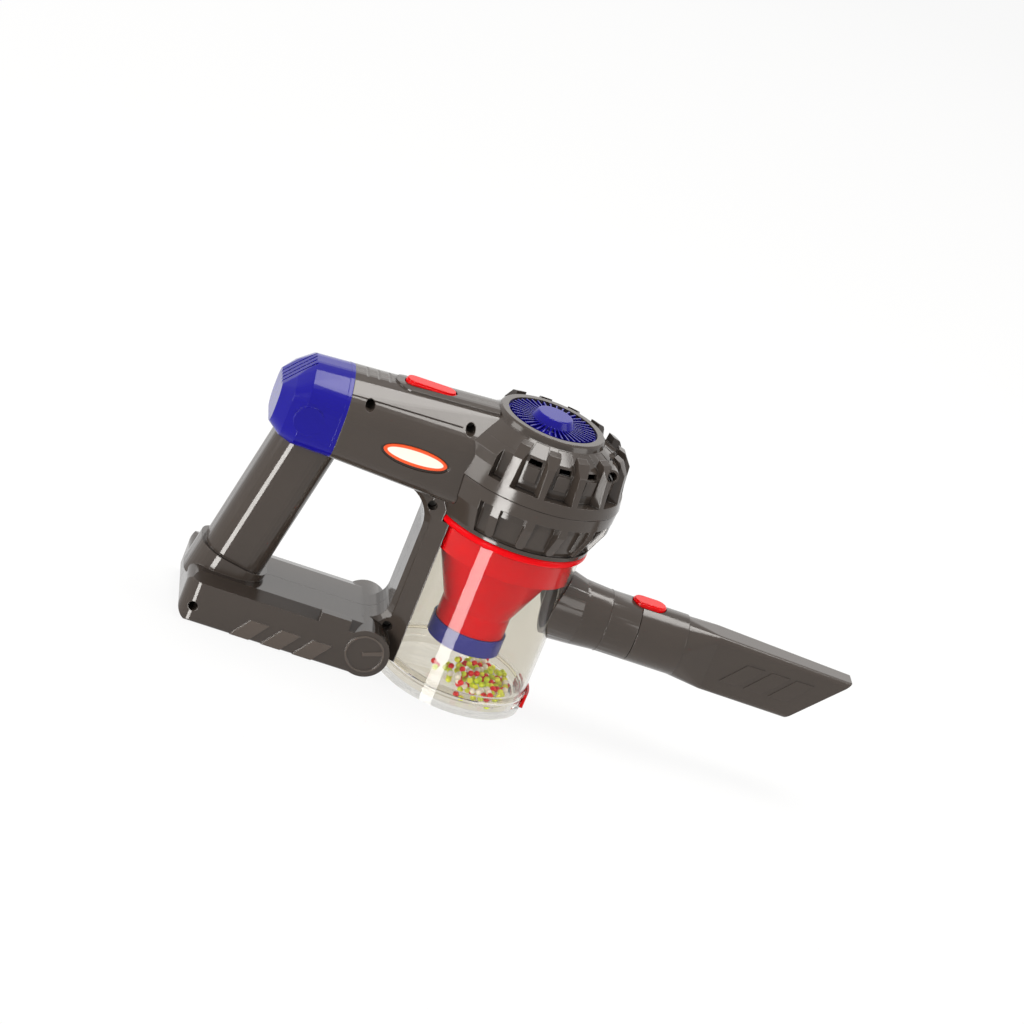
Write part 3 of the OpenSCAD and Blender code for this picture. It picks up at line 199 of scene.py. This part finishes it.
def linear(red, green, blue):
    """A linear colour from sRGB parts of 0 to 255."""
    def part(value):
        value /= 255
        return value / 12.92 if value <= 0.04045 else ((value + 0.055) / 1.055) ** 2.4
    return (part(red), part(green), part(blue), 1.0)


def shade(colour, factor):
    """The colour made lighter or darker."""
    return tuple(min(1.0, channel * factor) for channel in colour[:3]) + (1.0,)


def mix_colours(link, add, factor, low, high):
    """A colour between two colours, or sockets, by a factor socket."""
    mix = add("ShaderNodeMix", data_type="RGBA")
    link(factor, mix.inputs[MIX_FACTOR])
    for slot, value in ((MIX_LOW, low), (MIX_HIGH, high)):
        if isinstance(value, tuple):
            mix.inputs[slot].default_value = value
        else:
            link(value, mix.inputs[slot])
    return mix.outputs[MIX_RESULT]


def spread(link, add, socket, low, high, to_low, to_high):
    """A value socket mapped from one range to another."""
    node = add("ShaderNodeMapRange", From_Min=low, From_Max=high, To_Min=to_low, To_Max=to_high)
    link(socket, node.inputs["Value"])
    return node.outputs["Result"]


def noise(link, add, coords, scale, detail=3.0):
    """A noise texture in the part's own coordinates."""
    node = add("ShaderNodeTexNoise", Scale=scale, Detail=detail)
    link(coords, node.inputs["Vector"])
    return node.outputs["Fac"]


def compared(link, add, socket, operation, limit):
    """A mask socket from one value compared with a limit."""
    node = add("ShaderNodeMath", operation=operation)
    node.inputs[1].default_value = limit
    link(socket, node.inputs[0])
    return node.outputs[0]


def combined(link, add, operation, first, second):
    """A value socket from two others."""
    node = add("ShaderNodeMath", operation=operation)
    link(first, node.inputs[0])
    link(second, node.inputs[1])
    return node.outputs[0]


def seen_rays(link, add):
    """A mask of the rays that see the background: from the camera, through glass and off gloss."""
    path = add("ShaderNodeLightPath")
    direct = combined(link, add, "MAXIMUM", path.outputs["Is Camera Ray"], path.outputs["Is Transmission Ray"])
    return combined(link, add, "MAXIMUM", direct, path.outputs["Is Glossy Ray"])


def raised_trim(link, add, coords):
    """A mask of the strips and rings that stand proud of the base's sides."""
    place = add("ShaderNodeSeparateXYZ")
    link(coords, place.inputs["Vector"])
    side = add("ShaderNodeMath", operation="ABSOLUTE")
    link(place.outputs["Y"], side.inputs[0])
    proud = compared(link, add, side.outputs[0], "GREATER_THAN", TRIM_SIDE)
    low = compared(link, add, place.outputs["Z"], "LESS_THAN", TRIM_TOP)
    return combined(link, add, "MULTIPLY", proud, low)


def plastic(name, colour, rough=0.2, edge_highlight_tone=1.35, specular=0.5, trim=False):
    """Moulded plastic: cloudy pigment, uneven polish, fine grain, softened edges and a painted highlight that
    makes every edge paler.
    """
    material, link, add, output = new_material(name)
    shader = add("ShaderNodeBsdfPrincipled", Specular_IOR_Level=specular)
    coords = add("ShaderNodeTexCoord").outputs["Object"]
    cloud = noise(link, add, coords, CLOUD_SCALE)
    speck = noise(link, add, coords, SPECK_SCALE, 2.0)
    smear = noise(link, add, coords, SMEAR_SCALE, 4.0)
    rounded = add("ShaderNodeBevel", samples=SHADED_SAMPLES, Radius=SHADED_ROUND)
    turn = add("ShaderNodeVectorMath", operation="DOT_PRODUCT")
    link(rounded.outputs["Normal"], turn.inputs[0])
    link(add("ShaderNodeNewGeometry").outputs["Normal"], turn.inputs[1])
    # Painted highlight: the colour is made paler by the edge tone wherever the rounded normal turns away from
    # the true one
    painted_edge_highlight = spread(link, add, turn.outputs["Value"], EDGE_HIGHLIGHT_START, EDGE_HIGHLIGHT_END, 0.0, EDGE_HIGHLIGHT_MOST)
    body = mix_colours(link, add, cloud, shade(colour, TONE_LOW), shade(colour, TONE_HIGH))
    body = mix_colours(link, add, painted_edge_highlight, body, shade(colour, edge_highlight_tone))
    if trim:
        body = mix_colours(link, add, raised_trim(link, add, coords), body, shade(colour, TRIM_LIGHTER))
    link(body, shader.inputs["Base Color"])
    polish = spread(link, add, smear, NOISE_LOW, NOISE_HIGH, rough * POLISH_LOW, rough * POLISH_HIGH)
    link(polish, shader.inputs["Roughness"])
    bump = add("ShaderNodeBump", Strength=GRAIN_STRENGTH, Distance=GRAIN_H)
    link(speck, bump.inputs["Height"])
    link(rounded.outputs["Normal"], bump.inputs["Normal"])
    link(bump.outputs["Normal"], shader.inputs["Normal"])
    link(shader.outputs["BSDF"], output.inputs["Surface"])
    return material


def clear_plastic(name, tint):
    """Clear moulded plastic with a faint tint and fine flow lines, which lets lamplight through."""
    material, link, add, output = new_material(name)
    shader = add("ShaderNodeBsdfPrincipled", Base_Color=tint, Transmission_Weight=1.0, IOR=CLEAR_IOR)
    coords = add("ShaderNodeTexCoord").outputs["Object"]
    smear = noise(link, add, coords, CLEAR_SMEAR_SCALE)
    polish = spread(link, add, smear, NOISE_LOW, NOISE_HIGH, CLEAR_ROUGH_LOW, CLEAR_ROUGH_HIGH)
    link(polish, shader.inputs["Roughness"])
    bump = add("ShaderNodeBump", Strength=FLOW_STRENGTH, Distance=FLOW_H)
    link(noise(link, add, coords, FLOW_SCALE, 1.0), bump.inputs["Height"])
    link(bump.outputs["Normal"], shader.inputs["Normal"])
    passing = add("ShaderNodeBsdfTransparent", Color=tint)
    mix = add("ShaderNodeMixShader")
    link(add("ShaderNodeLightPath").outputs["Is Shadow Ray"], mix.inputs[0])
    link(shader.outputs["BSDF"], mix.inputs[1])
    link(passing.outputs["BSDF"], mix.inputs[2])
    link(mix.outputs["Shader"], output.inputs["Surface"])
    return material


def badge_print(name, node):
    """Badge face: an orange ring round a bare cream field, placed on the node's own box."""
    low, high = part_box(node)
    half = (high - low) / 2
    share_x, share_z = BADGE_FIELD_SHARES
    material, link, add, output = new_material(name)
    shader = add("ShaderNodeBsdfPrincipled")
    coords = add("ShaderNodeTexCoord").outputs["Object"]
    offset = add("ShaderNodeVectorMath", operation="SUBTRACT")
    offset.inputs[1].default_value = (low + high) / 2
    link(coords, offset.inputs[0])
    scaled = add("ShaderNodeVectorMath", operation="MULTIPLY")
    scaled.inputs[1].default_value = (1 / (half.x * share_x), 0, 1 / (half.z * share_z))
    link(offset.outputs["Vector"], scaled.inputs[0])
    length = add("ShaderNodeVectorMath", operation="LENGTH")
    link(scaled.outputs["Vector"], length.inputs[0])
    ring = spread(link, add, length.outputs["Value"], 1 - PRINT_EDGE, 1 + PRINT_EDGE, 0.0, 1.0)

    speck = noise(link, add, coords, PRINT_SPECK_SCALE)
    cream = mix_colours(link, add, speck, linear(236, 231, 216), linear(244, 240, 228))
    orange = mix_colours(link, add, speck, linear(232, 74, 14), linear(240, 84, 20))
    link(mix_colours(link, add, ring, cream, orange), shader.inputs["Base Color"])
    polish = spread(link, add, speck, NOISE_LOW, NOISE_HIGH, PRINT_ROUGH_LOW, PRINT_ROUGH_HIGH)
    link(polish, shader.inputs["Roughness"])
    link(shader.outputs["BSDF"], output.inputs["Surface"])
    return material


def metal(name, colour, rough):
    """Plated metal with fine drawn lines."""
    material, link, add, output = new_material(name)
    shader = add("ShaderNodeBsdfPrincipled", Metallic=1.0)
    lines = add("ShaderNodeMapping", Scale=(1.0, 1.0, DRAWN_STRETCH))
    link(add("ShaderNodeTexCoord").outputs["Object"], lines.inputs["Vector"])
    drawn = noise(link, add, lines.outputs["Vector"], DRAWN_SCALE)
    tone = mix_colours(link, add, drawn, shade(colour, DRAWN_TONE_LOW), shade(colour, DRAWN_TONE_HIGH))
    link(tone, shader.inputs["Base Color"])
    polish = spread(link, add, drawn, NOISE_LOW, NOISE_HIGH,
                    rough * DRAWN_POLISH_LOW, rough * DRAWN_POLISH_HIGH)
    link(polish, shader.inputs["Roughness"])
    link(shader.outputs["BSDF"], output.inputs["Surface"])
    return material


# Finishes
GREY = plastic("grey_plastic", linear(62, 55, 50), rough=0.14, edge_highlight_tone=1.6, specular=0.34, trim=True)
BLUE = plastic("blue_plastic", linear(20, 14, 130), rough=0.15, specular=0.17)
RED = plastic("red_plastic", linear(212, 6, 10), rough=0.16, specular=0.12)
SHROUD = plastic("shroud_plastic", linear(216, 4, 14), rough=0.22, specular=0.08)
VIOLET = plastic("violet_plastic", linear(54, 56, 148), rough=0.24, specular=0.2)
WHITE = plastic("white_plastic", linear(225, 224, 219), rough=0.35)
BLACK = plastic("black_plastic", linear(24, 23, 23), rough=0.4)
CLEAR = clear_plastic("clear_plastic", CLEAR_TINT)
STEEL = metal("plated_steel", linear(200, 200, 203), 0.3)
DARK_STEEL = metal("dark_steel", linear(60, 58, 56), 0.4)
JACKET = metal("cell_jacket", linear(176, 152, 84), 0.32)

FINISHES = [
    (GREY, ["body_shell_right", "body_shell_left", "cyclone_collar", "inlet_duct", "crevice_nozzle",
            "battery_door"]),
    (BLUE, ["rear_cap", "vent_disc"]),
    (RED, ["power_button", "release_button", "bin_latch"]),
    (SHROUD, ["cyclone_shroud"]),
    (VIOLET, ["filter_ring"]),
    (WHITE, ["impeller", "filter_screen"]),
    (BLACK, ["power_switch", "motor_bracket"]),
    (CLEAR, ["dust_bin", "bin_lid"]),
    (STEEL, ["button_spring", "lid_hinge_pin", "latch_pin", "release_spring", "motor_can", "motor_shaft",
             "battery_door_screw", "battery_contacts", "battery_springs"]),
    (DARK_STEEL, ["housing_screws"]),
    (JACKET, ["battery_cells"]),
]
BADGES = ["badge_right", "badge_left"]
SOFTENED = ["inlet_duct", "power_button", "release_button", "bin_latch"] + BADGES


def finish_node(node, material):
    """Gives a CAD node its material."""
    node.data.materials.clear()
    node.data.materials.append(material)


def soften(node):
    """Rounds a CAD node's sharp edges with modifiers, leaving its mesh as it is."""
    weld = node.modifiers.new("weld", "WELD")
    weld.merge_threshold = WELD
    clean = node.modifiers.new("clean", "DECIMATE")
    clean.decimate_type = "DISSOLVE"
    clean.angle_limit = FLAT
    round_off = node.modifiers.new("round", "BEVEL")
    round_off.width = EDGE_ROUND
    round_off.segments = EDGE_STEPS
    round_off.limit_method = "ANGLE"
    round_off.angle_limit = CREASE
    round_off.use_clamp_overlap = True
    round_off.harden_normals = True


for material, names in FINISHES:
    for name in names:
        finish_node(nodes[name], material)
for name in BADGES:
    finish_node(nodes[name], badge_print(name + "_print", name))
for name in SOFTENED:
    soften(nodes[name])


def heap():
    """Centres of beads dropped one by one onto the lid's floor, each resting on those below it."""
    dice = random.Random(BEAD_SEED)
    centres = []
    while len(centres) < BEAD_COUNT:
        x = dice.gauss(BEAD_MIDDLE.x, BEAD_SPREAD.x)
        y = dice.gauss(BEAD_MIDDLE.y, BEAD_SPREAD.y)
        if math.hypot(x, y) > BEAD_LIMIT:
            continue
        on_track = abs(x - TRACK_X) < TRACK_HALF_X and abs(y) < TRACK_HALF_Y
        z = LID_FLOOR + BEAD_R + (TRACK_H if on_track else 0)
        for other in centres:
            gap = math.hypot(x - other.x, y - other.y)
            if gap < 2 * BEAD_R:
                z = max(z, other.z + math.sqrt(4 * BEAD_R ** 2 - gap ** 2))
        if z < LID_FLOOR + HEAP_H:
            centres.append(Vector((x, y, z)))
    return centres


def bead_objects():
    """The heap as one object of each colour, carried by the lid."""
    finishes = [
        plastic("bead_lime", linear(238, 250, 74), rough=0.22),
        plastic("bead_red", linear(242, 24, 34), rough=0.2),
        plastic("bead_green", linear(218, 242, 56), rough=0.22),
        plastic("bead_white", linear(252, 248, 242), rough=0.25),
    ]
    centres = heap()
    for index, finish in enumerate(finishes):
        shape = bmesh.new()
        for centre in centres[index::len(finishes)]:
            bmesh.ops.create_icosphere(shape, subdivisions=BEAD_DETAIL, radius=BEAD_R,
                                       matrix=Matrix.Translation(centre))
        for face in shape.faces:
            face.smooth = True
        mesh = bpy.data.meshes.new(finish.name + "s")
        shape.to_mesh(mesh)
        shape.free()
        mesh.materials.append(finish)
        beads = bpy.data.objects.new(finish.name + "s", mesh)
        bpy.context.scene.collection.objects.link(beads)
        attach(beads, "lid")


def outward(azimuth, elevation):
    """The unit vector from the object to a place at these angles, in degrees."""
    a, e = math.radians(azimuth), math.radians(elevation)
    return Vector((math.sin(a) * math.cos(e), -math.cos(a) * math.cos(e), math.sin(e)))


def pale_floor():
    """A floor that is nearly white where it is seen, and keeps the object's shadow."""
    bpy.ops.mesh.primitive_plane_add(size=FLOOR_SIZE, location=(0, 0, 0))
    floor = bpy.context.object
    floor.name = "floor"
    material, link, add, output = new_material("pale_floor")
    paint = add("ShaderNodeBsdfDiffuse", Color=FLOOR_COLOUR)
    glow = add("ShaderNodeEmission", Strength=1.0)
    share = add("ShaderNodeMath", operation="MULTIPLY")
    share.inputs[1].default_value = FLOOR_GLOW_SHARE
    link(seen_rays(link, add), share.inputs[0])
    mix = add("ShaderNodeMixShader")
    link(share.outputs[0], mix.inputs[0])
    link(paint.outputs["BSDF"], mix.inputs[1])
    link(glow.outputs["Emission"], mix.inputs[2])
    link(mix.outputs["Shader"], output.inputs["Surface"])
    floor.data.materials.append(material)
    floor.visible_glossy = False


def white_surround():
    """A dim, even light from all round that is white where it is seen."""
    world = bpy.data.worlds.new("white_surround")
    bpy.context.scene.world = world
    world.use_nodes = True
    tree = world.node_tree
    tree.nodes.clear()
    link, add = tree.links.new, node_adder(tree)
    lighting = add("ShaderNodeBackground", Color=SURROUND_COLOUR, Strength=SURROUND_LIGHT)
    seen = add("ShaderNodeBackground", Color=WHITE_LIGHT, Strength=1.0)
    mix = add("ShaderNodeMixShader")
    link(seen_rays(link, add), mix.inputs[0])
    link(lighting.outputs["Background"], mix.inputs[1])
    link(seen.outputs["Background"], mix.inputs[2])
    link(mix.outputs["Shader"], add("ShaderNodeOutputWorld").inputs["Surface"])


def softbox(name, azimuth, elevation, distance, width, height, radiance):
    """A rectangular lamp that faces the middle of the object and stays out of sight."""
    away = outward(azimuth, elevation)
    lamp = bpy.data.lights.new(name, "AREA")
    lamp.shape = "RECTANGLE"
    lamp.size = width
    lamp.size_y = height
    lamp.energy = radiance * math.pi * width * height
    lamp.color = LAMP_COLOUR
    box = bpy.data.objects.new(name, lamp)
    bpy.context.scene.collection.objects.link(box)
    box.location = (cad_low + cad_high) / 2 + away * distance
    box.rotation_euler = away.to_track_quat("Z", "Y").to_euler()
    box.visible_camera = False


def camera():
    """The camera at the photograph's viewing angle."""
    back = outward(VIEW_AZIMUTH, VIEW_ELEVATION)
    a, roll = math.radians(VIEW_AZIMUTH), math.radians(VIEW_ROLL)
    level = Vector((math.cos(a), math.sin(a), 0.0))
    upright = back.cross(level)
    right = math.cos(roll) * level + math.sin(roll) * upright
    up = -math.sin(roll) * level + math.cos(roll) * upright
    data = bpy.data.cameras.new("camera")
    data.sensor_width = SENSOR
    data.lens = LENS
    data.clip_end = VIEW_REACH
    eye = bpy.data.objects.new("camera", data)
    bpy.context.scene.collection.objects.link(eye)
    turn = Matrix((right, up, back)).transposed().to_4x4()
    eye.matrix_world = Matrix.Translation(VIEW_TARGET + back * VIEW_DISTANCE) @ turn
    bpy.context.scene.camera = eye


bead_objects()
pale_floor()
white_surround()
for settings in SOFTBOXES:
    softbox(*settings)
camera()
bpy.context.scene.view_settings.view_transform = "Standard"
